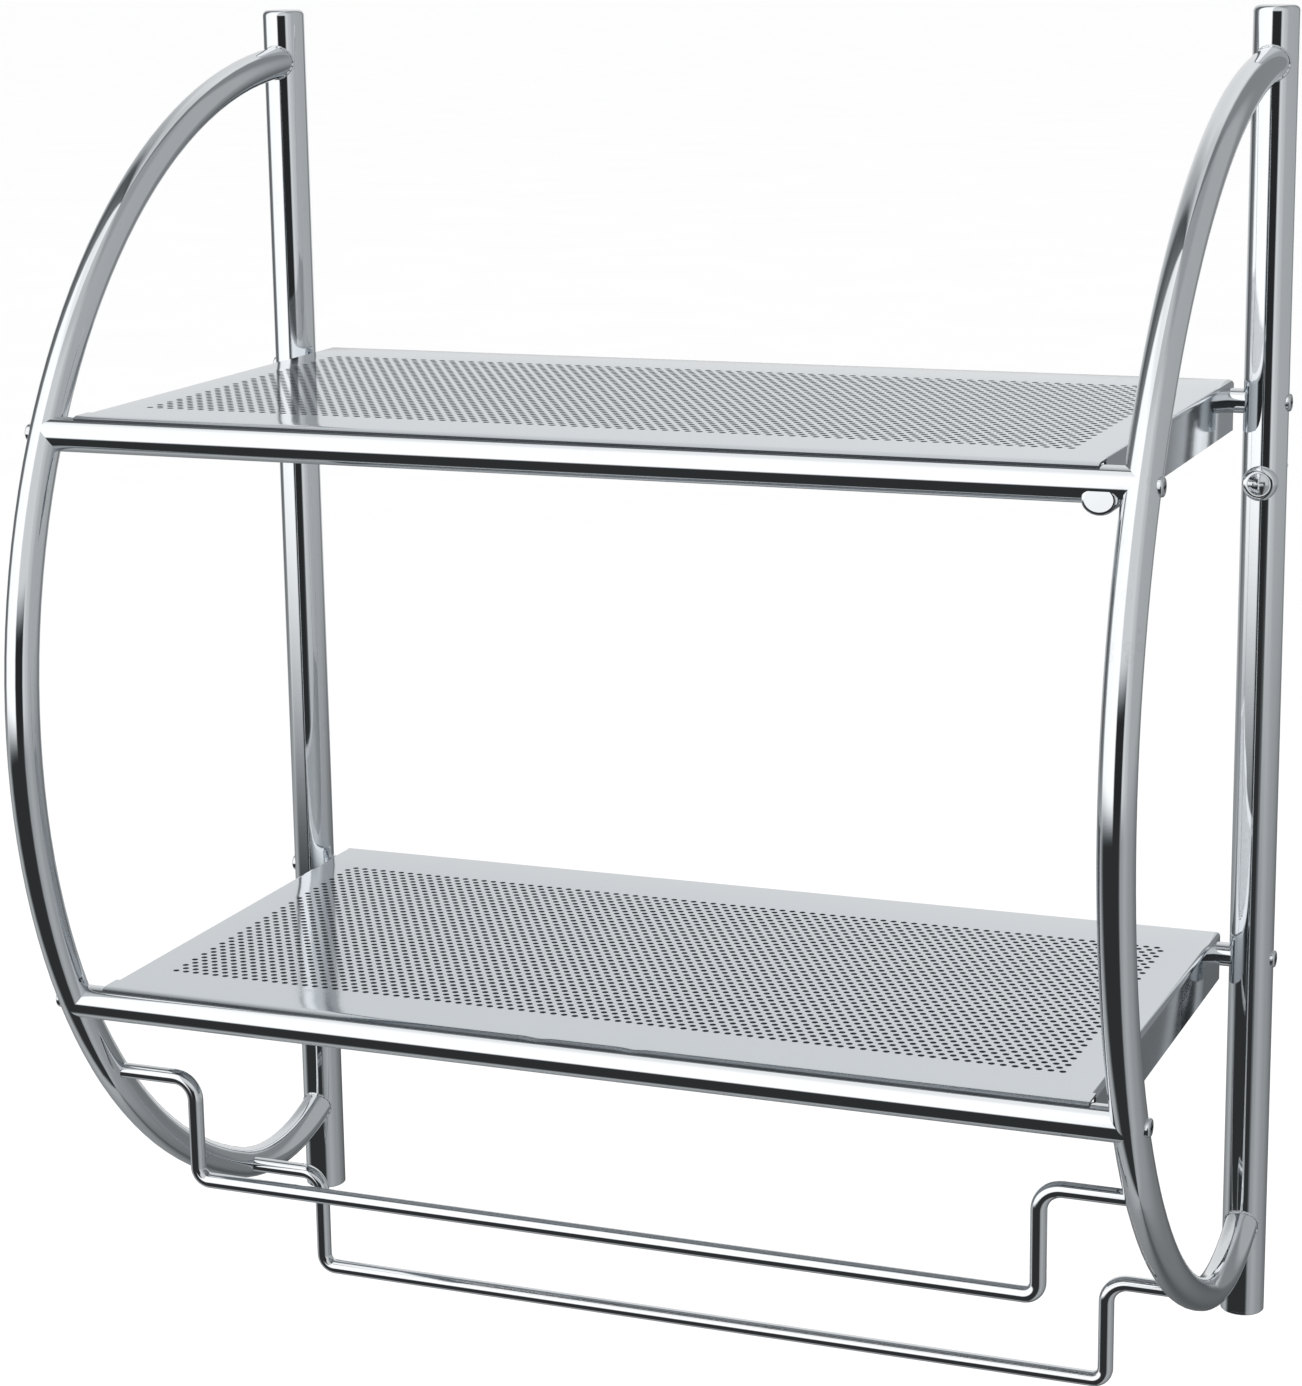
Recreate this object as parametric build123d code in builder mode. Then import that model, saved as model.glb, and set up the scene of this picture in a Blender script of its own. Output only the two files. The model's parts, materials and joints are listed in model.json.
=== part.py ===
"""Wall-mounted chrome rack: two D-shaped side frames carry two sheet-metal shelves and two towel rails.

The shelf sheets are plain: their field of small perforations isn't cut, and screw threads are plain shanks.
Millimetres. +X runs along the shelves, +Y points into the wall, +Z is up. The wall is the plane Y = 0,
and the origin lies midway between the two wall screws.
"""

import os
from math import cos, radians, sin, sqrt

from build123d import *

# Side frames
post_spacing = 480
post_height = 600
post_d = 20
post_wall = 1.2
arch_d = 15
arch_wall = 1.2
arch_radius = 276  # centreline of the long arc, centred on the wall plane at mid height
foot_radius = 111  # centreline of the tighter arc that turns up into the post
foot_angle = 21.5  # where the two arcs meet, from straight down
arch_start_angle = 1.7  # both ends of the arch start inside the post
arch_end_angle = 28
wall_screw_rise = 93  # wall screws above mid height

# Shelves
shelf_rise = 128  # front tube axis above and below mid height
sheet_t = 1.0
sheet_width = 448
sheet_rear_gap = 3  # from the wall to the sheet's rear flange
flange_height = 23
bend_radius = 2.5
lip_angle = 28  # how far the front lip wraps over the front tube
lip_gap = 0.1
flange_corner_length = 36  # the end flanges' lower front corners are cut off at a slant
flange_corner_height = 9

# Towel rails
rail_d = 7
rail_drop = 48
rail_leg_x = 196.5
rail_upper_bend = 10
rail_lower_bend = 6
rail_insertion = 5.5  # rail end past the arch's inner face
rail_clearance = 0.05
front_rail_drop = 169  # front rail's pivot below mid height
rear_rail_y = -98

# Caps and fasteners
dome_height = 3
dome_edge_radius = 2.7
foot_cap_t = 1.5
foot_cap_chamfer = 0.5
plug_length = 12
plug_clearance = 0.1
shelf_screw_d = 5
shelf_screw_hole_d = 5.4
shelf_head_d = 8
shelf_head_rise = 1.2  # above the crown of the tube that it sits on
shelf_head_skirt = 2  # below the crown, before the head is shaped to the tube
shelf_head_edge_radius = 1
shelf_recess_span = 4
shelf_recess_depth = 1.4
front_insert_length = 14
spacer_d = 11
nut_sides = 6
nut_flats = 8
nut_t = 4
thread_clearance = 0.05
wall_screw_d = 4.5  # over the thread, which starts at the wall plane
wall_screw_shank_d = 3.3  # smooth shank from the head to the wall plane
wall_screw_hole_d = 5
wall_head_d = 9.6
wall_head_rise = 1.6
wall_head_depth = 3.2
wall_head_clearance = 0.1
countersink_angle = 90
wall_screw_depth = 38  # threaded length standing out behind the wall plane
wall_tip_length = 5
cup_d = 15.5
cup_rise = 3
cup_rim = 2.4
recess_span = 5
recess_slot = 1.3
recess_depth = 1.8
lug_length = 14.4
lug_width = 14.6
lug_height = 12.4
lug_depth = 3.7
lug_edge_radius = 1.5
lug_x = 225

# Worked out from the driving dimensions
mid_z = -wall_screw_rise
post_x = post_spacing / 2
post_outer_x = post_x + post_d / 2
post_y = -post_d / 2
post_bottom_z = mid_z - post_height / 2
post_top_z = mid_z + post_height / 2
arch_inner_x = post_x - arch_d / 2
arch_outer_x = post_x + arch_d / 2
tube_y = -sqrt(arch_radius**2 - shelf_rise**2)
shelf_z = {"upper": mid_z + shelf_rise, "lower": mid_z - shelf_rise}
sheet_x = sheet_width / 2
foot_join = Vector(arch_radius * sin(radians(foot_angle)), -arch_radius * cos(radians(foot_angle)))
foot_centre = foot_join + Vector(
    -foot_radius * sin(radians(foot_angle)), foot_radius * cos(radians(foot_angle))
)
rear_rail_z = mid_z + foot_centre.Y - sqrt(foot_radius**2 - (-rear_rail_y - foot_centre.X) ** 2)
front_rail_y = -sqrt(arch_radius**2 - front_rail_drop**2)
front_rail_z = mid_z - front_rail_drop
rail_pivots = {"front": (front_rail_y, front_rail_z), "rear": (rear_rail_y, rear_rail_z)}
sides = {"left": -1, "right": 1}

os.makedirs("parts", exist_ok=True)


def save(piece, name):
    """Label a finished piece and write its STEP file."""
    piece.part.label = name
    export_step(piece.part, f"parts/{name}.step")


def side_plane(x):
    """Plane of a side frame at mid height: local x runs out from the wall, local y up."""
    return Plane(origin=(x, 0, mid_z), x_dir=(0, -1, 0), z_dir=(-1, 0, 0))


def long_arc():
    """The arch's long arc, drawn from inside the post's top down to the foot arc."""
    start = radians(arch_start_angle)
    return JernArc(
        start=(arch_radius * sin(start), arch_radius * cos(start)),
        tangent=(cos(start), -sin(start)),
        radius=arch_radius,
        arc_size=foot_angle + arch_start_angle - 180,
    )


def cope_to_post(x):
    """Cut the piece being built to the outside of the post at x."""
    with Locations((x, post_y, mid_z)):
        Cylinder(post_d / 2, post_height, mode=Mode.SUBTRACT)


def cope_to_arch(x):
    """Cut the piece being built to the outside of the arch at x."""
    with BuildLine(side_plane(x)) as run:
        long_arc()
    with BuildSketch(Plane(origin=run.line @ 0, z_dir=run.line % 0)) as section:
        Circle(arch_d / 2)
    sweep(sections=section.sketch, path=run.line, mode=Mode.SUBTRACT)


def screw_pair(y, z, crown_x, cope, reach):
    """One screw on each side: low head shaped to the tube by cope, shank reaching inwards from its crown."""
    with BuildPart() as screws:
        for sign in sides.values():
            with BuildSketch(Plane.YZ.offset(sign * (crown_x - shelf_head_skirt))):
                with Locations((y, z)):
                    Circle(shelf_head_d / 2)
            extrude(amount=sign * (shelf_head_skirt + shelf_head_rise))
            cope(sign * post_x)
        for outermost in (0, -1):
            fillet(screws.edges().group_by(Axis.X)[outermost], radius=shelf_head_edge_radius)
        for sign in sides.values():
            with BuildSketch(Plane.YZ.offset(sign * (crown_x + shelf_head_rise / 2))):
                with Locations((y, z)):
                    Circle(shelf_screw_d / 2)
            extrude(amount=-sign * (reach + shelf_head_rise / 2))
            with BuildSketch(Plane.YZ.offset(sign * (crown_x + shelf_head_rise))):
                with Locations((y, z)):
                    Rectangle(shelf_recess_span, recess_slot)
                    Rectangle(recess_slot, shelf_recess_span)
            extrude(amount=-sign * shelf_recess_depth, mode=Mode.SUBTRACT)
    return screws


for side, sign in sides.items():
    x = sign * post_x

    # Post: round tube, with holes for the wall screw and both rear shelf screws
    with BuildPart() as post:
        with BuildSketch(Plane.XY.offset(post_bottom_z + foot_cap_t)):
            with Locations((x, post_y)):
                Circle(post_d / 2)
                Circle(post_d / 2 - post_wall, mode=Mode.SUBTRACT)
        extrude(amount=post_height - foot_cap_t - dome_height)
        with BuildSketch(Plane.XZ):
            with Locations((x, 0)):
                Circle(wall_screw_hole_d / 2)
        extrude(amount=post_d, mode=Mode.SUBTRACT)
        with BuildSketch(Plane.YZ.offset(x)):
            with Locations(*[(post_y, z) for z in shelf_z.values()]):
                Circle(shelf_screw_hole_d / 2)
        extrude(amount=post_d, both=True, mode=Mode.SUBTRACT)
    save(post, f"{side}_post")

    # Top cap: domed disc on a plug that sits in the tube
    with BuildPart() as top_cap:
        with BuildSketch(Plane.XY.offset(post_top_z - dome_height)):
            with Locations((x, post_y)):
                Circle(post_d / 2)
        extrude(amount=dome_height)
        fillet(top_cap.edges().group_by(Axis.Z)[-1], radius=dome_edge_radius)
        with BuildSketch(Plane.XY.offset(post_top_z - dome_height)):
            with Locations((x, post_y)):
                Circle(post_d / 2 - post_wall - plug_clearance)
        extrude(amount=-plug_length)
    save(top_cap, f"{side}_post_top_cap")

    # Foot cap: flat disc on the same plug
    with BuildPart() as foot_cap:
        with BuildSketch(Plane.XY.offset(post_bottom_z)):
            with Locations((x, post_y)):
                Circle(post_d / 2)
        extrude(amount=foot_cap_t)
        chamfer(foot_cap.edges().group_by(Axis.Z)[0], length=foot_cap_chamfer)
        with BuildSketch(Plane.XY.offset(post_bottom_z + foot_cap_t)):
            with Locations((x, post_y)):
                Circle(post_d / 2 - post_wall - plug_clearance)
        extrude(amount=plug_length)
    save(foot_cap, f"{side}_post_foot_cap")

    # Arch: bent tube, coped to the post at both ends, drilled for the shelf screws and the rails
    with BuildPart() as arch:
        with BuildLine(side_plane(x)) as run:
            upper = long_arc()
            JernArc(
                start=upper @ 1,
                tangent=upper % 1,
                radius=foot_radius,
                arc_size=-foot_angle - arch_end_angle,
            )
        with BuildSketch(Plane(origin=run.line @ 0, z_dir=run.line % 0)):
            Circle(arch_d / 2)
            Circle(arch_d / 2 - arch_wall, mode=Mode.SUBTRACT)
        sweep()
        cope_to_post(x)
        with BuildSketch(Plane.YZ.offset(x)):
            with Locations(*[(tube_y, z) for z in shelf_z.values()]):
                Circle(shelf_screw_hole_d / 2)
        extrude(amount=arch_d, both=True, mode=Mode.SUBTRACT)
        with BuildSketch(Plane.YZ.offset(x)):
            with Locations(*rail_pivots.values()):
                Circle(rail_d / 2 + rail_clearance)
        extrude(amount=-sign * arch_d, mode=Mode.SUBTRACT)
    save(arch, f"{side}_arch")

    # Cup washer: rounded ring shaped to the post's front, countersunk for the wall screw
    with BuildPart() as cup:
        with BuildSketch(Plane.XZ.offset(post_d / 2)):
            with Locations((x, 0)):
                Circle(cup_d / 2)
        extrude(amount=post_d / 2 + cup_rise)
        fillet(cup.edges().group_by(Axis.Y)[0], radius=cup_rim)
        with Locations(Plane.XZ.offset(post_d + cup_rise) * Location((x, 0, 0))):
            CounterSinkHole(
                wall_screw_hole_d / 2,
                wall_head_d / 2 + wall_head_clearance,
                counter_sink_angle=countersink_angle,
            )
        cope_to_post(x)
    save(cup, f"{side}_wall_screw_cup")

    # Wall screw: oval countersunk head with a cross recess, smooth shank, thread and pointed tip
    with BuildPart() as wall_screw:
        head_y = -(post_d + cup_rise)
        with BuildSketch(Plane.XY):
            with BuildLine():
                Line((x, head_y - wall_head_rise), (x, wall_screw_depth))
                Line((x, wall_screw_depth), (x + wall_screw_d / 2, wall_screw_depth - wall_tip_length))
                Line(
                    (x + wall_screw_d / 2, wall_screw_depth - wall_tip_length),
                    (x + wall_screw_d / 2, 0),
                )
                Line((x + wall_screw_d / 2, 0), (x + wall_screw_shank_d / 2, 0))
                Line((x + wall_screw_shank_d / 2, 0), (x + wall_screw_shank_d / 2, head_y + wall_head_depth))
                Line(
                    (x + wall_screw_shank_d / 2, head_y + wall_head_depth),
                    (x + wall_head_d / 2, head_y),
                )
                TangentArc(
                    (x, head_y - wall_head_rise), (x + wall_head_d / 2, head_y), tangent=(1, 0)
                )
            make_face()
        revolve(axis=Axis((x, 0, 0), (0, 1, 0)))
        with BuildSketch(Plane.XZ.offset(-head_y + wall_head_rise)):
            with Locations((x, 0)):
                Rectangle(recess_span, recess_slot)
                Rectangle(recess_slot, recess_span)
        extrude(amount=-recess_depth, mode=Mode.SUBTRACT)
    save(wall_screw, f"{side}_wall_screw")


for level, z in shelf_z.items():
    sheet_top = z + arch_d / 2 + lip_gap + sheet_t

    # Shelf sheet: flat top, flanges turned down at both ends and the rear, lip over the front tube
    with BuildPart() as sheet:
        with BuildSketch(Plane.XY.offset(sheet_top - flange_height)):
            with Locations((0, (tube_y - sheet_rear_gap) / 2)):
                Rectangle(sheet_width, -tube_y - sheet_rear_gap)
        extrude(amount=flange_height)
        top_edges = sheet.edges().group_by(Axis.Z)[-1]
        fillet(top_edges.sort_by(Axis.Y)[1:], radius=bend_radius)
        offset(
            amount=-sheet_t,
            openings=[sheet.faces().sort_by(Axis.Z)[0], sheet.faces().sort_by(Axis.Y)[0]],
        )
        flange_front_y = tube_y + arch_d / 2 + sheet_t
        with BuildSketch(Plane.XY.offset(sheet_top - flange_height)):
            with Locations((0, (tube_y + flange_front_y) / 2)):
                Rectangle(sheet_width, flange_front_y - tube_y)
        extrude(amount=flange_height - sheet_t, mode=Mode.SUBTRACT)
        flange_bottom_z = sheet_top - flange_height
        with BuildSketch(Plane.YZ):
            with BuildLine():
                Polyline(
                    (flange_front_y, flange_bottom_z),
                    (flange_front_y, flange_bottom_z + flange_corner_height),
                    (flange_front_y + flange_corner_length, flange_bottom_z),
                    close=True,
                )
            make_face()
        extrude(amount=sheet_x, both=True, mode=Mode.SUBTRACT)
        with BuildSketch(Plane.YZ.offset(-sheet_x)):
            with BuildLine():
                inner = arch_d / 2 + lip_gap
                CenterArc((tube_y, z), inner, 90, lip_angle)
                CenterArc((tube_y, z), inner + sheet_t, 90, lip_angle)
                Line((tube_y, z + inner), (tube_y, z + inner + sheet_t))
                Line(
                    (tube_y - inner * sin(radians(lip_angle)), z + inner * cos(radians(lip_angle))),
                    (
                        tube_y - (inner + sheet_t) * sin(radians(lip_angle)),
                        z + (inner + sheet_t) * cos(radians(lip_angle)),
                    ),
                )
            make_face()
        extrude(amount=sheet_width)
        with BuildSketch(Plane.YZ):
            with Locations((post_y, z)):
                Circle(shelf_screw_hole_d / 2)
        extrude(amount=sheet_width, both=True, mode=Mode.SUBTRACT)
    save(sheet, f"{level}_shelf_sheet")

    # Front tube: coped to both arches
    with BuildPart() as tube:
        with BuildSketch(Plane.YZ):
            with Locations((tube_y, z)):
                Circle(arch_d / 2)
                Circle(arch_d / 2 - arch_wall, mode=Mode.SUBTRACT)
        extrude(amount=post_x, both=True)
        for sign in sides.values():
            cope_to_arch(sign * post_x)
    save(tube, f"{level}_front_tube")

    # Threaded inserts: one pressed into each end of the front tube
    with BuildPart() as inserts:
        for sign in sides.values():
            with BuildSketch(Plane.YZ.offset(sign * arch_inner_x)):
                with Locations((tube_y, z)):
                    Circle(arch_d / 2 - arch_wall)
                    Circle(shelf_screw_d / 2 + thread_clearance, mode=Mode.SUBTRACT)
            extrude(amount=-sign * front_insert_length)
    save(inserts, f"{level}_front_tube_inserts")

    # Front screws: through each arch into the tube's insert
    front_reach = arch_d + front_insert_length - shelf_screw_d / 2
    save(screw_pair(tube_y, z, arch_outer_x, cope_to_arch, front_reach), f"{level}_front_screws")

    # Rear spacers: sleeves between the sheet's end flanges and the posts, shaped to the posts
    with BuildPart() as spacers:
        for sign in sides.values():
            with BuildSketch(Plane.YZ.offset(sign * sheet_x)):
                with Locations((post_y, z)):
                    Circle(spacer_d / 2)
                    Circle(shelf_screw_hole_d / 2, mode=Mode.SUBTRACT)
            extrude(amount=sign * post_d / 2)
            cope_to_post(sign * post_x)
    save(spacers, f"{level}_rear_spacers")

    # Rear nuts: hexagon nuts inside the end flanges
    with BuildPart() as nuts:
        for sign in sides.values():
            with BuildSketch(Plane.YZ.offset(sign * (sheet_x - sheet_t))):
                with Locations((post_y, z)):
                    RegularPolygon(nut_flats / 2, nut_sides, major_radius=False)
                    Circle(shelf_screw_d / 2 + thread_clearance, mode=Mode.SUBTRACT)
            extrude(amount=-sign * nut_t)
    save(nuts, f"{level}_rear_nuts")

    # Rear screws: through each post and spacer into the nut
    rear_reach = post_outer_x - sheet_x + sheet_t + nut_t + shelf_screw_d / 2
    save(screw_pair(post_y, z, post_outer_x, cope_to_post, rear_reach), f"{level}_rear_screws")


# Lug: rounded tab under the right end of the upper front tube
with BuildPart() as lug:
    lug_z = shelf_z["upper"] - arch_d / 2 - lug_depth + lug_height / 2
    with BuildSketch(Plane.XZ.offset(lug_width / 2 - tube_y)):
        with Locations((lug_x, lug_z)):
            Ellipse(lug_length / 2, lug_height / 2)
    extrude(amount=-lug_width)
    for face in (0, -1):
        fillet(lug.faces().sort_by(Axis.Y)[face].edges(), radius=lug_edge_radius)
    with BuildSketch(Plane.YZ.offset(lug_x - lug_length)):
        with Locations((tube_y, shelf_z["upper"])):
            Circle(arch_d / 2)
    extrude(amount=2 * lug_length, mode=Mode.SUBTRACT)
save(lug, "upper_tube_lug")


for name, (y, z) in rail_pivots.items():
    # Towel rail: one bent rod, its ends free to turn in the arches
    with BuildPart() as rail:
        end_x = arch_inner_x + rail_insertion
        with BuildLine() as bend:
            FilletPolyline(
                (-end_x, y, z),
                (-rail_leg_x, y, z),
                (-rail_leg_x, y, z - rail_drop),
                (rail_leg_x, y, z - rail_drop),
                (rail_leg_x, y, z),
                (end_x, y, z),
                radius=[rail_upper_bend, rail_lower_bend, rail_lower_bend, rail_upper_bend],
            )
        with BuildSketch(Plane(origin=bend.line @ 0, z_dir=bend.line % 0)):
            Circle(rail_d / 2)
        sweep()
    save(rail, f"{name}_towel_rail")
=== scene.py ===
import json
import math
from typing import NamedTuple

import bmesh
import bpy
from bpy.props import FloatProperty, FloatVectorProperty, IntProperty, PointerProperty
from bpy.types import Operator, Panel, PropertyGroup
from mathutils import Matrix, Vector


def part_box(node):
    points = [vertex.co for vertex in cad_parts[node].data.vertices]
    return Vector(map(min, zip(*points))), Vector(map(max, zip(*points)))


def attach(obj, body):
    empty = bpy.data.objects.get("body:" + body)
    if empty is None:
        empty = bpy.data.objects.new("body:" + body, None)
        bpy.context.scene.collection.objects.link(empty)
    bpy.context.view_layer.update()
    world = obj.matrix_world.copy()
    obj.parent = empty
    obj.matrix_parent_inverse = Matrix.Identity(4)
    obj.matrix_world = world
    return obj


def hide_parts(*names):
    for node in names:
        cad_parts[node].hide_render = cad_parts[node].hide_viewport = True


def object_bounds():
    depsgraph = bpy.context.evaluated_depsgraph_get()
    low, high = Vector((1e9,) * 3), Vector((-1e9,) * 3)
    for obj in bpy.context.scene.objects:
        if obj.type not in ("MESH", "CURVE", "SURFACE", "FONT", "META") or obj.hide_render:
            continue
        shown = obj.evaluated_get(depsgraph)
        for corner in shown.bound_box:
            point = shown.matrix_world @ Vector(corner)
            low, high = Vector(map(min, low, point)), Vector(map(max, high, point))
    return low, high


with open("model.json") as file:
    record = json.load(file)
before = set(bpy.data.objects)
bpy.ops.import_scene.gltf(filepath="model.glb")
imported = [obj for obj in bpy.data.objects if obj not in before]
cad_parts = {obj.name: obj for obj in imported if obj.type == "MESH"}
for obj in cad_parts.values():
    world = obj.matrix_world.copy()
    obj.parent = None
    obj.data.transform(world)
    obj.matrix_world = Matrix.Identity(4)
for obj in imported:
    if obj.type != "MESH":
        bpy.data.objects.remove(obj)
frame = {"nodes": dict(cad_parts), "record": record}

bl_info = {
    "name": "Chrome Towel Rack",
    "version": (1, 0, 0),
    "blender": (4, 5, 0),
    "location": "View3D > Sidebar > Rack",
    "description": "Perforated shelves, welds, chrome finishes and studio for the packed towel rack",
    "category": "Object",
}

# Metres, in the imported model's own frame: +X along the shelves, +Y into the wall, +Z up.
CAD_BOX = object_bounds()
SIDES = ("left", "right")
LEVELS = ("upper", "lower")
WHITE = (1.0, 1.0, 1.0, 1.0)


# ---------------------------------------------------------------- node helpers


class Value:
    """A socket that takes part in ordinary arithmetic, adding its Math nodes as it goes."""

    def __init__(self, nodes, socket):
        self.nodes = nodes
        self.socket = socket

    def __add__(self, other):
        return self.nodes.maths("ADD", self, other)

    def __mul__(self, other):
        return self.nodes.maths("MULTIPLY", self, other)

    def __truediv__(self, other):
        return self.nodes.maths("DIVIDE", self, other)

    def __rtruediv__(self, other):
        return self.nodes.maths("DIVIDE", other, self)

    def __neg__(self):
        return self.nodes.maths("MULTIPLY", self, -1.0)

    __radd__ = __add__
    __rmul__ = __mul__


class Nodes:
    """A node tree under construction."""

    def __init__(self, tree):
        self.tree = tree
        tree.nodes.clear()

    def add(self, kind, settings=None, inputs=None, output=0):
        """One node: its settings first, then the values or links of its sockets."""
        node = self.tree.nodes.new(kind)
        for name, value in (settings or {}).items():
            if name == "stops":
                set_stops(node.color_ramp, value)
            else:
                setattr(node, name, value)
        for name, value in (inputs or {}).items():
            if isinstance(value, Value):
                self.tree.links.new(value.socket, node.inputs[name])
            else:
                node.inputs[name].default_value = value
        return Value(self, node.outputs[output]) if node.outputs else None

    def maths(self, operation, *values):
        return self.add("ShaderNodeMath", {"operation": operation}, dict(enumerate(values)))

    def ramp(self, factor, stops):
        return self.add("ShaderNodeValToRGB", {"stops": stops}, {"Fac": factor})

    def blend(self, factor, first, second):
        """A colour that goes from first to second."""
        names = {"Factor": factor, 6: first, 7: second}
        return self.add("ShaderNodeMix", {"data_type": "RGBA"}, names, output=2)


def set_stops(ramp, stops):
    """Gives a colour ramp (position, brightness) stops, eased between them."""
    ramp.interpolation = "EASE"
    while len(ramp.elements) < len(stops):
        ramp.elements.new(1.0)
    for element, (position, tone) in zip(ramp.elements, stops):
        element.position = position
        element.color = (tone, tone, tone, 1.0)


# ---------------------------------------------------------------- finishes


class Plating(NamedTuple):
    """How one plated finish looks close up; grain is in cells per metre, and shade dims the colour."""

    roughness: float
    grain: float
    grain_depth: float
    spots: float
    shade: float = 1.0


PLATINGS = {
    "tube_chrome": Plating(roughness=0.035, grain=900.0, grain_depth=0.10, spots=0.5),
    "rail_chrome": Plating(roughness=0.05, grain=1500.0, grain_depth=0.15, spots=0.35),
    "cap_chrome": Plating(roughness=0.045, grain=1200.0, grain_depth=0.12, spots=0.4),
    "screw_steel": Plating(roughness=0.10, grain=2500.0, grain_depth=0.30, spots=0.3, shade=0.92),
    "zinc_steel": Plating(roughness=0.30, grain=1800.0, grain_depth=0.60, spots=0.6),
    "sheet_chrome": Plating(roughness=0.075, grain=700.0, grain_depth=0.25, spots=0.5),
    # Hole walls and cut edges: rougher plate whose dark colour is painted shade inside the holes
    "hole_wall_shade": Plating(roughness=0.42, grain=2200.0, grain_depth=0.8, spots=0.4),
    "weld_chrome": Plating(roughness=0.12, grain=1600.0, grain_depth=0.8, spots=0.5, shade=0.95),
}

# Scales of the patterns that all platings share, in cells per metre
WAVE_SCALE = 35.0
HAZE_SCALE = 9.0
SPOT_SCALE = 95.0
# A dried spot has a darker ring near its edge; haze lies only where its noise is high
SPOT_RINGS = ((0.0, 0.35), (0.17, 0.55), (0.2, 1.0), (0.25, 0.0))
HAZE_EDGE = ((0.50, 0.0), (0.68, 1.0))
# How strongly each pattern dulls the colour, roughens the plate and gives it relief
DULL_SHADE = 0.86
SPOT_TONE = 0.6
GRAIN_TONE = 0.12
GRAIN_ROUGHNESS = 0.45
HAZE_ROUGHNESS = 0.4
SPOT_ROUGHNESS = 0.16
WAVE_DEPTH = 0.6
RELIEF_STRENGTH = 0.05
RELIEF_HEIGHT = 0.0004


def plated(name, colour):
    """Metal plate: faint waves and polishing grain, dried water spots and a thin haze."""
    finish = PLATINGS[name]
    roughness = finish.roughness
    bright = tuple(finish.shade * c for c in colour)
    dull = tuple(DULL_SHADE * c for c in bright)
    material = bpy.data.materials.new(name)
    material.use_nodes = True
    nodes = Nodes(material.node_tree)
    place = nodes.add("ShaderNodeTexCoord", output=3)

    def noise(scale, detail):
        return nodes.add("ShaderNodeTexNoise", None, {"Vector": place, "Scale": scale, "Detail": detail})

    waves = noise(WAVE_SCALE, 2.0)
    fine = noise(finish.grain, 3.0)
    cells = nodes.add("ShaderNodeTexVoronoi", None, {"Vector": place, "Scale": SPOT_SCALE})
    patch = nodes.ramp(noise(HAZE_SCALE, 5.0), HAZE_EDGE)
    dried = nodes.ramp(cells, SPOT_RINGS) * patch * finish.spots

    tone = nodes.blend(dried * SPOT_TONE + fine * GRAIN_TONE, (*bright, 1.0), (*dull, 1.0))
    rough = roughness + fine * (GRAIN_ROUGHNESS * roughness) + patch * (HAZE_ROUGHNESS * roughness)
    relief = {
        "Height": waves * WAVE_DEPTH + fine * finish.grain_depth,
        "Strength": RELIEF_STRENGTH,
        "Distance": RELIEF_HEIGHT,
    }
    surface = {
        "Base Color": tone,
        "Roughness": rough + dried * SPOT_ROUGHNESS,
        "Normal": nodes.add("ShaderNodeBump", None, relief),
        "Metallic": 1.0,
    }
    shader = nodes.add("ShaderNodeBsdfPrincipled", None, surface)
    nodes.add("ShaderNodeOutputMaterial", None, {"Surface": shader})
    return material


def dress(piece, material):
    """Gives a piece one material all over."""
    piece.data.materials.clear()
    piece.data.materials.append(material)


def new_piece(name, bm, material):
    """A mesh object of one material, linked into the scene."""
    mesh = bpy.data.meshes.new(name)
    bm.to_mesh(mesh)
    bm.free()
    piece = bpy.data.objects.new(name, mesh)
    bpy.context.scene.collection.objects.link(piece)
    dress(piece, material)
    return piece


# ---------------------------------------------------------------- perforated shelf


RIM_STEPS = 10
CREASE_ANGLE = math.radians(32)


class Skin:
    """The outer face of a sheet, made of faces that share their corners."""

    def __init__(self):
        self.bm = bmesh.new()
        self.corners = {}

    def point(self, x, y, z):
        """The corner at a place, where corners within a micrometre are one."""
        key = (round(x, 6), round(y, 6), round(z, 6))
        if key not in self.corners:
            self.corners[key] = self.bm.verts.new((x, y, z))
        return self.corners[key]

    def face(self, *points):
        self.bm.faces.new([self.point(*p) for p in points])

    def strip(self, first, second):
        """Quads between two rows of points; the second row lies to the left of the first."""
        for a, b, c, d in zip(first, first[1:], second[1:], second):
            self.face(a, b, c, d)


def hole_cell(skin, x, y, z, width, depth, radius):
    """One hole in its own rectangle, whose front and rear sides have a point at mid-length."""
    half_w, half_d = width / 2, depth / 2
    step = math.tau / RIM_STEPS

    def rim(index):
        angle = index * step - math.pi / 2
        return (x + radius * math.cos(angle), y + radius * math.sin(angle), z)

    # stretches of the rectangle, and the points of the rim that each one faces
    stretches = [
        ((0, -half_d), (half_w, -half_d), (0, 1, 2)),
        ((half_w, -half_d), (half_w, half_d), (2, 3)),
        ((half_w, half_d), (0, half_d), (3, 4, 5)),
        ((0, half_d), (-half_w, half_d), (5, 6, 7)),
        ((-half_w, half_d), (-half_w, -half_d), (7, 8)),
        ((-half_w, -half_d), (0, -half_d), (8, 9, 10)),
    ]
    for start, end, rims in stretches:
        outer = [(x + px, y + py, z) for px, py in (start, end)]
        skin.face(*outer, *[rim(i) for i in reversed(rims)])


def hole_field(skin, columns, rows, pitch, row_pitch, front_y, z, radius):
    """Staggered rows of holes; every other row is half a pitch along, with plain half cells at its ends."""
    edge_x = columns * pitch / 2
    for row in range(rows):
        y = front_y + (row + 0.5) * row_pitch
        shift = row % 2
        for column in range(columns - shift):
            x = -edge_x + (column + 0.5 + shift / 2) * pitch
            hole_cell(skin, x, y, z, pitch, row_pitch, radius)
        if shift:
            low, high = y - row_pitch / 2, y + row_pitch / 2
            for start in (-edge_x, edge_x - pitch / 2):
                end = start + pitch / 2
                skin.face((start, low, z), (end, low, z), (end, high, z), (start, high, z))


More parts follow.
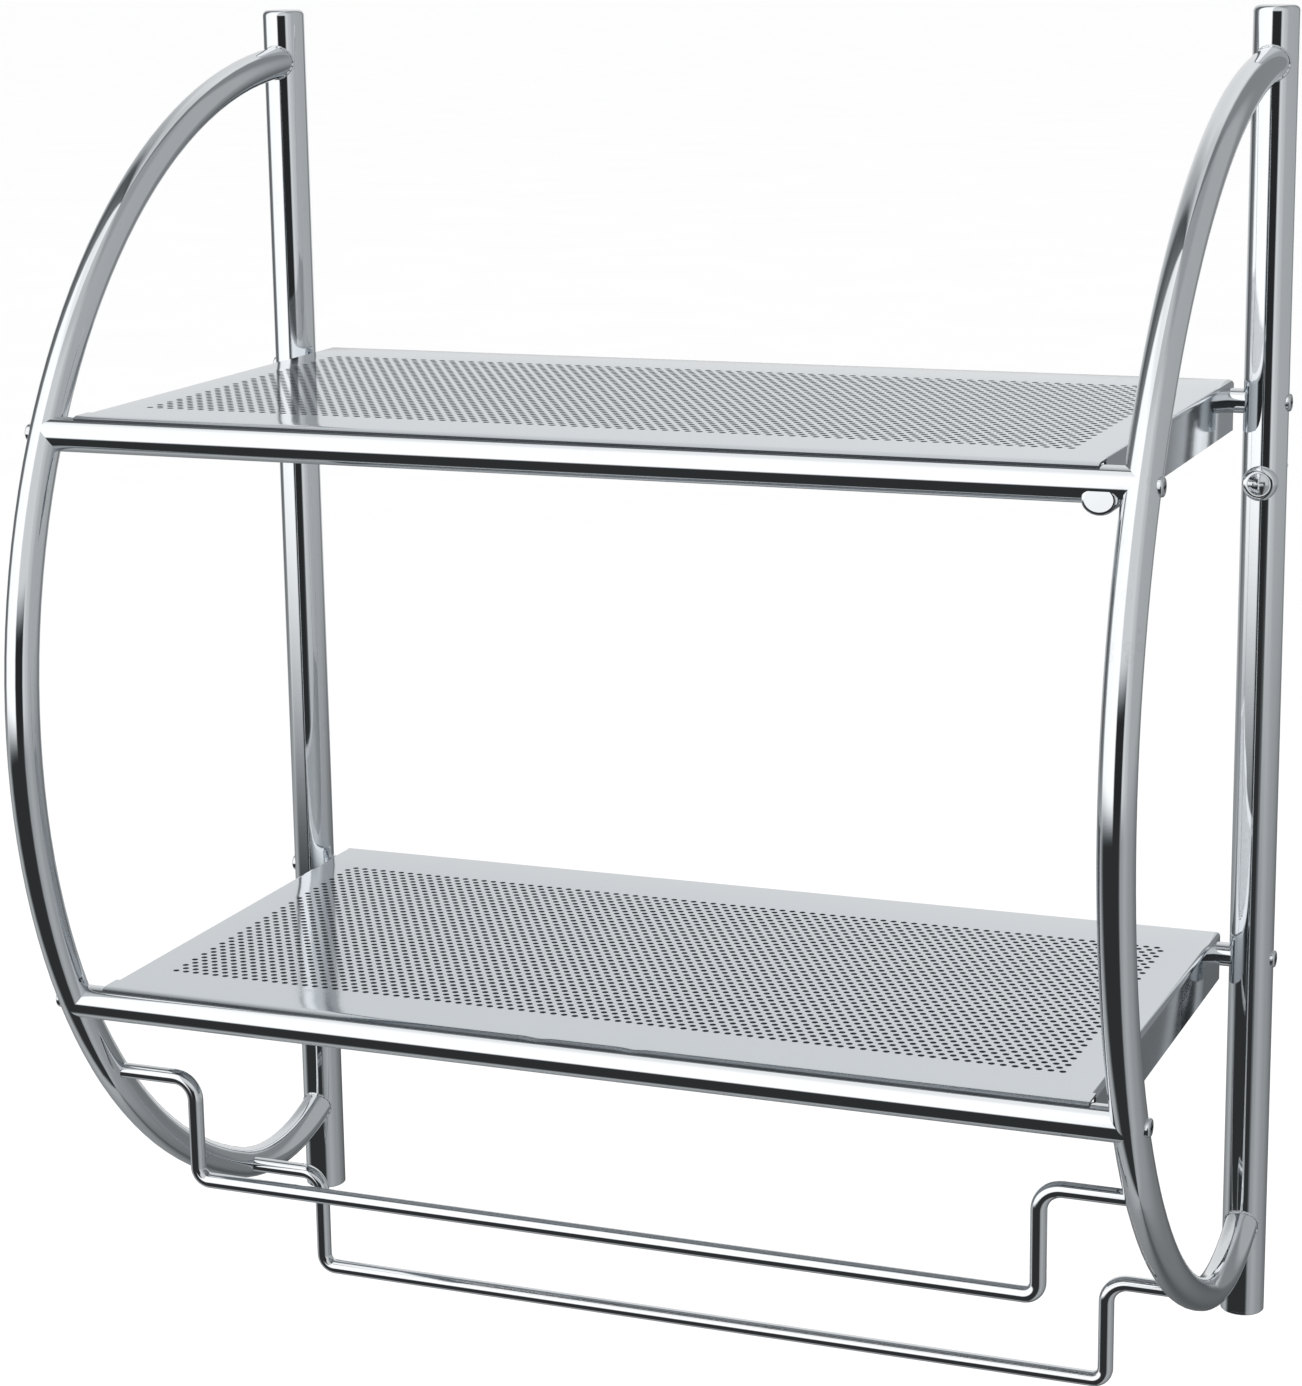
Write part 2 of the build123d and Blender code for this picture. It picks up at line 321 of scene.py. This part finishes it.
def build_shelf_sheet(level, sizes, material, edge_shade_material):
    """Perforated deck with a plain border, a lip over the front tube and flanges on the other sides."""
    low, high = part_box(f"{level}_shelf_sheet")
    tube_low, tube_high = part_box(f"{level}_front_tube")
    tube_y, tube_z = (tube_low.y + tube_high.y) / 2, (tube_low.z + tube_high.z) / 2
    top, bend = high.z, sizes.bend_radius
    wrap = top - tube_z  # radius of the lip's roll about the tube's axis

    row_pitch = sizes.hole_pitch * math.sqrt(3) / 2
    columns = int((high.x - sizes.end_border) * 2 / sizes.hole_pitch)
    rows = int((-tube_y + high.y - sizes.front_border - sizes.rear_border) / row_pitch)
    field_x = columns * sizes.hole_pitch / 2
    front_y = tube_y + sizes.front_border
    rear_y = front_y + rows * row_pitch
    skin = Skin()
    hole_field(skin, columns, rows, sizes.hole_pitch, row_pitch, front_y, top, sizes.hole_radius)

    bend_x, bend_y = high.x - bend, high.y - bend
    inner_x = [-field_x + i * sizes.hole_pitch / 2 for i in range(2 * columns + 1)]
    across = [-bend_x, *inner_x, bend_x]
    down = [front_y + i * row_pitch for i in range(rows + 1)]
    flange_y = tube_y + wrap

    def line(y, z, xs):
        return [(x, y, z) for x in xs]

    # plain border beside and behind the holes, and in front of them as far as the flanges
    for start, end in ((-bend_x, -field_x), (field_x, bend_x)):
        for y, next_y in zip(down, down[1:]):
            skin.face((start, y, top), (end, y, top), (end, next_y, top), (start, next_y, top))
    skin.strip(line(rear_y, top, across), line(bend_y, top, across))
    skin.strip(line(flange_y, top, across), line(front_y, top, across))

    # front lip, as wide as the sheet, rolled over the tube
    wide = [low.x, *across, high.x]
    lip = [(flange_y, top), (tube_y, top)]
    for i in range(1, sizes.lip_steps + 1):
        angle = sizes.lip_angle * i / sizes.lip_steps
        lip.append((tube_y - wrap * math.sin(angle), tube_z + wrap * math.cos(angle)))
    for (y, z), (next_y, next_z) in zip(lip, lip[1:]):
        skin.strip(line(next_y, next_z, wide), line(y, z, wide))

    # bends and flanges round the left, rear and right sides
    outline = [(-bend_x, y, -1, 0) for y in (flange_y, *down)]
    outline.append((-bend_x, bend_y, -1, 1))
    outline += [(x, bend_y, 0, 1) for x in inner_x]
    outline.append((bend_x, bend_y, 1, 1))
    outline += [(bend_x, y, 1, 0) for y in reversed((flange_y, *down))]

    def contour(outwards, z):
        return [(x + nx * outwards, y + ny * outwards, z) for x, y, nx, ny in outline]

    rings = [contour(0, top)]
    for i in range(1, sizes.bend_steps + 1):
        angle = math.pi / 2 * i / sizes.bend_steps
        rings.append(contour(bend * math.sin(angle), top - bend * (1 - math.cos(angle))))
    foot = contour(bend, low.z)
    rings.append([(x, y, z + sizes.corner_rise(y - flange_y)) for x, y, z in foot])
    for upper, lower in zip(rings, rings[1:]):
        skin.strip(upper, lower)

    if level == "lower":
        press_dents(skin, sizes, tube_y)
    sheet = new_piece(f"{level}_perforated_shelf", skin.bm, material)
    # Cut edges and hole walls take the dark material, painted shade inside the holes
    thicken(sheet, sizes.sheet_thickness, edge_shade_material)
    sheet.data.shade_smooth()
    sheet.data.set_sharp_from_angle(angle=CREASE_ANGLE)
    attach(sheet, "frame")
    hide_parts(f"{level}_shelf_sheet")


def press_dents(skin, sizes, tube_y):
    """Two shallow handling dents near the middle of the lip."""
    for side in (-1, 1):
        centre = sizes.dent_centre + side * sizes.dent_spacing / 2
        for vertex in skin.bm.verts:
            if vertex.co.y < tube_y + sizes.dent_radius / 2:
                fall = (vertex.co.x - centre) / sizes.dent_radius
                vertex.co.z -= sizes.dent_depth * math.exp(-fall * fall)


def thicken(piece, thickness, edge_shade_material):
    """Gives a skin its sheet thickness on the inner side, with its cut edges in a dark material of their
    own, which paints the shade inside the holes.
    """
    piece.data.materials.append(edge_shade_material)
    shell = piece.modifiers.new("thickness", "SOLIDIFY")
    shell.thickness = thickness
    shell.offset = -1.0
    shell.use_even_offset = True
    shell.material_offset_rim = 1
    solid = piece.evaluated_get(bpy.context.evaluated_depsgraph_get())
    mesh = bpy.data.meshes.new_from_object(solid)
    piece.modifiers.clear()
    piece.data = mesh


# ---------------------------------------------------------------- welds


class Arch(NamedTuple):
    """One arch's tube: a large bend about (0, z), then a tighter foot bend up into the post."""

    x: float
    z: float
    radius: float
    bend: float
    foot_y: float
    foot_z: float
    foot_bend: float


class Post(NamedTuple):
    """One post's axis and radius."""

    y: float
    radius: float


def read_arch(side, sizes):
    low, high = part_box(f"{side}_arch")
    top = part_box(f"{side}_post_top_cap")[1].z
    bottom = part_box(f"{side}_post_foot_cap")[0].z
    radius = (high.x - low.x) / 2
    bend = -low.y - radius
    middle_z = (top + bottom) / 2
    swing = bend - sizes.foot_radius
    return Arch(
        x=(low.x + high.x) / 2,
        z=middle_z,
        radius=radius,
        bend=bend,
        foot_y=-swing * math.sin(sizes.foot_angle),
        foot_z=middle_z - swing * math.cos(sizes.foot_angle),
        foot_bend=sizes.foot_radius,
    )


def read_post(side):
    low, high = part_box(f"{side}_post")
    return Post(y=(low.y + high.y) / 2, radius=(high.y - low.y) / 2)


def seam_y(arch, post, phi):
    """Where the post's front face lies, for a point phi round the arch's tube."""
    return post.y - math.sqrt(post.radius**2 - (arch.radius * math.sin(phi)) ** 2)


def upper_seam(arch, post, phi):
    """Point where the arch's surface meets the post at the top; phi goes round the arch's tube."""
    y = seam_y(arch, post, phi)
    reach = arch.bend + arch.radius * math.cos(phi)
    rise = math.sqrt(reach**2 - y**2)
    return Vector((arch.x + arch.radius * math.sin(phi), y, arch.z + rise))


def lower_seam(arch, post, phi):
    """The same where the foot of the arch turns up into the post."""
    y = seam_y(arch, post, phi)
    reach = arch.foot_bend + arch.radius * math.cos(phi)
    drop = math.sqrt(reach**2 - (y - arch.foot_y) ** 2)
    return Vector((arch.x + arch.radius * math.sin(phi), y, arch.foot_z - drop))


def build_bead(name, seam, arch, post, sizes, material):
    """A closed weld bead with faint ripples, laid along a seam."""
    count, section = sizes.bead_steps, sizes.bead_sides
    points = [seam(arch, post, math.tau * i / count) for i in range(count)]
    middle = sum(points, Vector()) / count
    bm = bmesh.new()
    rings = []
    for i, point in enumerate(points):
        along = (points[(i + 1) % count] - points[i - 1]).normalized()
        outward = point - middle
        outward = (outward - outward.dot(along) * along).normalized()
        upward = along.cross(outward)
        ripple = 1 + sizes.bead_ripple * math.sin(math.tau * sizes.bead_waves * i / count)
        ring = []
        for j in range(section):
            turn = math.tau * j / section
            offset = outward * math.cos(turn) + upward * math.sin(turn)
            ring.append(bm.verts.new(point + offset * sizes.bead_radius * ripple))
        rings.append(ring)
    for i in range(count):
        here, after = rings[i], rings[(i + 1) % count]
        for j in range(section):
            k = (j + 1) % section
            bm.faces.new((here[j], here[k], after[k], after[j]))
    bmesh.ops.recalc_face_normals(bm, faces=bm.faces)
    bead = new_piece(name, bm, material)
    bead.data.shade_smooth()
    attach(bead, "frame")


# ---------------------------------------------------------------- studio


# Brightness above the horizon, by degrees round from straight in front of the wall towards +X
SKY = (
    (-180, 0.85), (-150, 0.78), (-128, 0.45), (-116, 0.10), (-92, 0.20), (-80, 1.20),
    (-14, 1.25), (-6, 0.01), (32, 0.01), (40, 0.74), (58, 0.60), (76, 0.46),
    (146, 0.44), (157, 0.26), (170, 0.26), (180, 0.85),
)
# Brightness below the horizon, round the same way
GROUND = (
    (-180, 0.10), (-130, 0.30), (-96, 0.45), (-66, 0.02), (24, 0.02),
    (40, 0.36), (62, 0.44), (100, 0.34), (150, 0.20), (180, 0.10),
)
# Shares of the two, by degrees above the horizon
UPPER_SHARE = ((-90, 0.0), (-17, 0.0), (-8, 1.0), (50, 1.0), (64, 0.80), (90, 0.85))
LOWER_SHARE = ((-90, 1.0), (-17, 1.0), (-8, 0.0), (90, 0.0))
# Extra brightness high over the dark gap in front: round as above, and its share by height
GAP_FILL = ((-180, 0.0), (-14, 0.0), (-6, 0.72), (32, 0.72), (40, 0.0), (180, 0.0))
GAP_SHARE = ((-90, 0.0), (4, 0.0), (15, 1.0), (90, 1.0))
# Least brightness that the chrome mirrors, and the tint of its darkest parts
BASE_GLOW = 0.015
DARK_TINT = (0.90, 0.96, 1.0, 1.0)


def floor_paint(colour, roughness, shade, mottle_scale):
    """Plain matt paint with a faint mottle."""
    material = bpy.data.materials.new("studio_floor")
    material.use_nodes = True
    nodes = Nodes(material.node_tree)
    place = nodes.add("ShaderNodeTexCoord", output=3)
    cloud = {"Vector": place, "Scale": mottle_scale, "Detail": 3.0}
    mottle = nodes.add("ShaderNodeTexNoise", None, cloud)
    darker = tuple(shade * c for c in colour)
    tone = nodes.blend(mottle, (*colour, 1.0), (*darker, 1.0))
    surface = {"Base Color": tone, "Roughness": roughness}
    shader = nodes.add("ShaderNodeBsdfPrincipled", None, surface)
    nodes.add("ShaderNodeOutputMaterial", None, {"Surface": shader})
    return material


def build_floor(sizes, colour):
    """A square of painted floor below the rack, which the chrome doesn't mirror."""
    bm = bmesh.new()
    bmesh.ops.create_grid(bm, x_segments=1, y_segments=1, size=sizes.floor_width / 2)
    paint = floor_paint(colour, roughness=0.9, shade=0.97, mottle_scale=3.0)
    floor = new_piece("studio_floor", bm, paint)
    floor.location.z = CAD_BOX[0].z - sizes.floor_drop
    floor.visible_glossy = False


def build_light(scene, sizes):
    """One large soft lamp overhead. The chrome mirrors the surroundings and not the lamp."""
    data = bpy.data.lights.new("overhead_softbox", "AREA")
    data.energy = sizes.lamp_power
    data.size = sizes.lamp_width
    lamp = bpy.data.objects.new("overhead_softbox", data)
    lamp.location = sizes.lamp_place
    lamp.rotation_euler = sizes.lamp_turn
    lamp.visible_glossy = False
    scene.collection.objects.link(lamp)


def build_surroundings(scene, sizes):
    """Softboxes, dark gaps and a dark ground, as the chrome mirrors them; plain white behind."""
    world = bpy.data.worlds.new("studio")
    scene.world = world
    world.use_nodes = True
    nodes = Nodes(world.node_tree)
    direction = nodes.add("ShaderNodeTexCoord")
    x, y, z = (nodes.add("ShaderNodeSeparateXYZ", None, {0: direction}, output=i) for i in range(3))
    bearing = nodes.maths("ARCTAN2", x, -y) / math.tau + 0.5
    height = nodes.maths("ARCSINE", z) / math.pi + 0.5

    def around(table, peak=1.0):
        """Brightness by bearing; a ramp holds no more than 1, so peak scales it down and back."""
        return nodes.ramp(bearing, [((angle + 180) / 360, tone / peak) for angle, tone in table])

    def upwards(table):
        return nodes.ramp(height, [((angle + 90) / 180, share) for angle, share in table])

    peak = max(tone for _, tone in SKY)
    sky = around(SKY, peak) * peak + around(GAP_FILL) * upwards(GAP_SHARE)
    glow = sky * upwards(UPPER_SHARE) + around(GROUND) * upwards(LOWER_SHARE) + BASE_GLOW
    tint = nodes.blend(glow, DARK_TINT, WHITE)
    plain = {"Color": WHITE, "Strength": sizes.white_strength}
    seen = nodes.add("ShaderNodeBackground", None, plain)
    mirrored = nodes.add("ShaderNodeBackground", None, {"Color": tint, "Strength": glow})
    mirror_ray = nodes.add("ShaderNodeLightPath", output=3)
    mix = nodes.add("ShaderNodeMixShader", None, {0: mirror_ray, 1: seen, 2: mirrored})
    nodes.add("ShaderNodeOutputWorld", None, {"Surface": mix})


def build_camera(scene, sizes):
    """The camera in front and to the right of the rack."""
    data = bpy.data.cameras.new("camera")
    data.lens = sizes.lens
    data.sensor_width = sizes.film_width
    data.shift_x, data.shift_y = sizes.shift_x, sizes.shift_y
    camera = bpy.data.objects.new("camera", data)
    camera.location = sizes.camera_place
    camera.rotation_euler = sizes.camera_turn
    scene.collection.objects.link(camera)
    scene.camera = camera


# ---------------------------------------------------------------- settings


class ShelfSizes(PropertyGroup):
    """Sizes of the perforated shelf sheets"""

    hole_pitch: FloatProperty(
        name="Hole pitch", description="Between holes in a row", default=0.005, unit="LENGTH"
    )
    hole_radius: FloatProperty(
        name="Hole radius", description="Radius of each hole", default=0.0015, unit="LENGTH"
    )
    end_border: FloatProperty(
        name="End border", description="Plain metal at each end", default=0.0165, unit="LENGTH"
    )
    front_border: FloatProperty(
        name="Front border", description="From the tube's axis to the holes", default=0.027, unit="LENGTH"
    )
    rear_border: FloatProperty(
        name="Rear border", description="Plain metal behind the holes", default=0.030, unit="LENGTH"
    )
    bend_radius: FloatProperty(
        name="Bend radius", description="Outside radius of the bends", default=0.0025, unit="LENGTH"
    )
    sheet_thickness: FloatProperty(
        name="Thickness", description="Thickness of the sheet", default=0.001, unit="LENGTH"
    )
    lip_angle: FloatProperty(
        name="Lip wrap", description="How far the lip rolls over",
        default=math.radians(28), subtype="ANGLE",
    )
    lip_steps: IntProperty(name="Lip steps", description="Facets across the lip", default=7)
    bend_steps: IntProperty(name="Bend steps", description="Facets across a bend", default=6)
    dent_centre: FloatProperty(
        name="Dent centre", description="Middle of the two dents along the lip",
        default=0.007, unit="LENGTH",
    )
    dent_spacing: FloatProperty(
        name="Dent spacing", description="Between the two dents", default=0.0435, unit="LENGTH"
    )
    dent_radius: FloatProperty(
        name="Dent radius", description="Half width of a dent", default=0.004, unit="LENGTH"
    )
    dent_depth: FloatProperty(
        name="Dent depth", description="Depth of a dent", default=0.0005, unit="LENGTH"
    )
    corner_length: FloatProperty(
        name="Corner length", description="Length cut off an end flange's lower corner",
        default=0.036, unit="LENGTH",
    )
    corner_height: FloatProperty(
        name="Corner height", description="Height cut off an end flange's lower corner",
        default=0.009, unit="LENGTH",
    )

    def corner_rise(self, behind_front):
        """How much higher the cut-off corner leaves the flange's lower edge, near its front."""
        return self.corner_height * max(0.0, 1 - behind_front / self.corner_length)


class WeldSizes(PropertyGroup):
    """Shape of the arches' feet, and sizes of the weld beads"""

    foot_radius: FloatProperty(
        name="Foot bend", description="Bend radius of the arch's foot", default=0.111, unit="LENGTH"
    )
    foot_angle: FloatProperty(
        name="Foot start", description="Where the foot bend starts",
        default=math.radians(21.5), subtype="ANGLE",
    )
    bead_radius: FloatProperty(
        name="Bead radius", description="Radius of a weld bead", default=0.0007, unit="LENGTH"
    )
    bead_ripple: FloatProperty(
        name="Ripple", description="How much the bead's width varies", default=0.10, min=0.0, max=1.0
    )
    bead_waves: IntProperty(name="Ripples", description="Ripples round one bead", default=22)
    bead_steps: IntProperty(name="Steps", description="Points round one bead", default=176)
    bead_sides: IntProperty(name="Sides", description="Sides of the bead's section", default=12)


class FinishColours(PropertyGroup):
    """Colours of the plated finishes, the painted shade on the cut edges and in the holes, and the floor"""

    chrome: FloatVectorProperty(
        name="Chrome", description="Bright plate", default=(0.80, 0.82, 0.84), subtype="COLOR"
    )
    sheet: FloatVectorProperty(
        name="Sheet", description="Plate of the shelves", default=(0.70, 0.735, 0.765), subtype="COLOR"
    )
    # Dark colour painted on the hole walls and cut edges as the shade inside the holes
    hole_shade: FloatVectorProperty(
        name="Punched edge", description="Dull plate inside the holes",
        default=(0.16, 0.175, 0.19), subtype="COLOR",
    )
    zinc: FloatVectorProperty(
        name="Zinc", description="Hidden nuts and inserts", default=(0.60, 0.62, 0.63), subtype="COLOR"
    )
    floor: FloatVectorProperty(
        name="Floor", description="Plain studio floor", default=(0.95, 0.95, 0.95), subtype="COLOR"
    )


class StudioSizes(PropertyGroup):
    """Places and sizes of the camera, the floor, the lamp and the plain white behind"""

    camera_place: FloatVectorProperty(
        name="Camera", description="Where the camera stands",
        default=(0.5308, -1.4881, 0.2490), unit="LENGTH",
    )
    camera_turn: FloatVectorProperty(
        name="Camera turn", description="How the camera is turned",
        default=tuple(math.radians(a) for a in (77.24, 0.921, 22.069)), subtype="EULER",
    )
    lens: FloatProperty(name="Lens", description="Focal length in millimetres", default=87.6)
    film_width: FloatProperty(name="Film", description="Width of the film in millimetres", default=36.0)
    shift_x: FloatProperty(name="Shift X", description="Sideways shift of the picture", default=0.0288)
    shift_y: FloatProperty(name="Shift Y", description="Upward shift of the picture", default=-0.0101)
    floor_drop: FloatProperty(
        name="Floor drop", description="From the rack's lowest point to the floor",
        default=0.45, unit="LENGTH",
    )
    floor_width: FloatProperty(
        name="Floor width", description="Side of the square floor", default=240.0, unit="LENGTH"
    )
    lamp_power: FloatProperty(
        name="Lamp power", description="Power of the overhead lamp", default=26.0, unit="POWER"
    )
    lamp_width: FloatProperty(
        name="Lamp width", description="Side of the square lamp", default=2.4, unit="LENGTH"
    )
    lamp_place: FloatVectorProperty(
        name="Lamp", description="Where the lamp hangs", default=(-0.4, -0.8, 2.2), unit="LENGTH"
    )
    lamp_turn: FloatVectorProperty(
        name="Lamp turn", description="How the lamp is turned",
        default=(math.radians(-18), math.radians(-10), 0.0), subtype="EULER",
    )
    white_strength: FloatProperty(
        name="White", description="Brightness of the plain white behind the rack", default=1.08
    )


# ---------------------------------------------------------------- operators


class RACK_OT_tubes(Operator):
    """Plates the posts, arches, front tubes and lug in bright chrome"""

    bl_idname = "rack.tubes"
    bl_label = "Tubes"

    def execute(self, context):
        chrome = plated("tube_chrome", context.scene.rack_finishes.chrome)
        names = [f"{side}_{part}" for side in SIDES for part in ("post", "arch")]
        names += [f"{level}_front_tube" for level in LEVELS] + ["upper_tube_lug"]
        for name in names:
            dress(frame["nodes"][name], chrome)
        return {"FINISHED"}


class RACK_OT_rails(Operator):
    """Plates the two towel rails"""

    bl_idname = "rack.rails"
    bl_label = "Towel rails"

    def execute(self, context):
        chrome = plated("rail_chrome", context.scene.rack_finishes.chrome)
        for name in ("front_towel_rail", "rear_towel_rail"):
            dress(frame["nodes"][name], chrome)
        return {"FINISHED"}


class RACK_OT_fittings(Operator):
    """Plates the caps, cups, spacers and screws, and zincs the nuts and inserts"""

    bl_idname = "rack.fittings"
    bl_label = "Caps and fasteners"

    def execute(self, context):
        colours = context.scene.rack_finishes
        finishes = {
            "cap_chrome": plated("cap_chrome", colours.chrome),
            "screw_steel": plated("screw_steel", colours.chrome),
            "zinc_steel": plated("zinc_steel", colours.zinc),
        }
        for part in frame["record"]["subparts"]:
            if part["material_slot"] in finishes:
                dress(frame["nodes"][part["node"]], finishes[part["material_slot"]])
        return {"FINISHED"}


class RACK_OT_shelves(Operator):
    """Builds both perforated shelf sheets"""

    bl_idname = "rack.shelves"
    bl_label = "Shelves"

    def execute(self, context):
        scene = context.scene
        sheet = plated("sheet_chrome", scene.rack_finishes.sheet)
        # The hole walls and cut edges get a dark material: painted shade inside the holes
        hole_shade = plated("hole_wall_shade", scene.rack_finishes.hole_shade)
        for level in LEVELS:
            build_shelf_sheet(level, scene.rack_shelves, sheet, hole_shade)
        return {"FINISHED"}


class RACK_OT_welds(Operator):
    """Lays a weld bead where each arch meets its post, at the top and at the foot"""

    bl_idname = "rack.welds"
    bl_label = "Welds"

    def execute(self, context):
        sizes = context.scene.rack_welds
        material = plated("weld_chrome", context.scene.rack_finishes.chrome)
        for side in SIDES:
            arch, post = read_arch(side, sizes), read_post(side)
            build_bead(f"{side}_upper_weld", upper_seam, arch, post, sizes, material)
            build_bead(f"{side}_lower_weld", lower_seam, arch, post, sizes, material)
        return {"FINISHED"}


class RACK_OT_stage(Operator):
    """Builds the pale floor, the soft lamp, the surroundings that the chrome mirrors, and the camera"""

    bl_idname = "rack.stage"
    bl_label = "Studio"

    def execute(self, context):
        scene = context.scene
        sizes = scene.rack_studio
        build_floor(sizes, tuple(scene.rack_finishes.floor))
        build_surroundings(scene, sizes)
        build_light(scene, sizes)
        build_camera(scene, sizes)
        scene.view_settings.view_transform = "Standard"
        return {"FINISHED"}


class RACK_PT_sidebar(Panel):
    """Lists the rack's operators and settings in the sidebar"""

    bl_idname = "RACK_PT_sidebar"
    bl_label = "Chrome Towel Rack"
    bl_space_type = "VIEW_3D"
    bl_region_type = "UI"
    bl_category = "Rack"

    def draw(self, context):
        for operator in OPERATORS:
            self.layout.operator(operator.bl_idname)
        for name in SETTINGS:
            group = getattr(context.scene, name)
            box = self.layout.box()
            for key in group.__annotations__:
                box.prop(group, key)


SETTINGS = {
    "rack_shelves": ShelfSizes,
    "rack_welds": WeldSizes,
    "rack_finishes": FinishColours,
    "rack_studio": StudioSizes,
}
OPERATORS = (RACK_OT_tubes, RACK_OT_rails, RACK_OT_fittings, RACK_OT_shelves, RACK_OT_welds, RACK_OT_stage)


def register():
    for group in SETTINGS.values():
        bpy.utils.register_class(group)
    for name, group in SETTINGS.items():
        setattr(bpy.types.Scene, name, PointerProperty(type=group))
    for operator in OPERATORS:
        bpy.utils.register_class(operator)
    bpy.utils.register_class(RACK_PT_sidebar)


def unregister():
    bpy.utils.unregister_class(RACK_PT_sidebar)
    for operator in reversed(OPERATORS):
        bpy.utils.unregister_class(operator)
    for name in SETTINGS:
        delattr(bpy.types.Scene, name)
    for group in SETTINGS.values():
        bpy.utils.unregister_class(group)


def main():
    register()
    bpy.ops.rack.tubes()
    bpy.ops.rack.rails()
    bpy.ops.rack.fittings()
    bpy.ops.rack.shelves()
    bpy.ops.rack.welds()
    bpy.ops.rack.stage()


if __name__ == "__main__":
    main()
